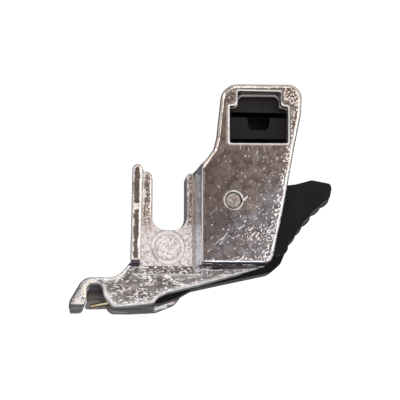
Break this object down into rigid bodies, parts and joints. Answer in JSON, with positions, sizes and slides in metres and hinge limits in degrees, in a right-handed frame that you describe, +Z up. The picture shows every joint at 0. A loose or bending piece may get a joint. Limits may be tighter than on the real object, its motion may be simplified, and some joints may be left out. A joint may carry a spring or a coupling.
{
  "type": "presser foot holder",
  "caption": "Clip-on presser foot holder: chromed die casting with a U screw slot, a windowed side plate, a foot-pin groove and a sprung black release lever.",
  "frame": {"origin": "axis of the clamp screw where it crosses the near face of the fork plate", "axes": "+Z up along the presser bar, +X from the foot-pin groove towards the release lever, +Y from the plate side to the far side where the bar stands"},
  "size_m": [0.034, 0.0121, 0.0291],
  "materials": {
    "casting": "bright plated die casting with orange peel",
    "lever": "fine matte moulding",
    "pin": "sawn end",
    "wire": "drawn spring wire",
    "coil": "spring wire"
  },
  "bodies": {
    "holder": {"holder_body": "casting", "lever_pivot_pin": "pin", "retaining_spring": "wire", "return_spring": "coil"},
    "lever": {"release_lever": "lever"}
  },
  "joints": [
    {"name": "lever_release", "type": "hinge", "parent": "holder", "child": "lever", "pos_m": [0.008, 0, 0.0013], "axis": [0, -1, 0], "range_deg": [0, 7], "stiffness_Nm_per_rad": 0.02, "springref_deg": -8.59, "deforming": ["return_spring"]}
  ]
}
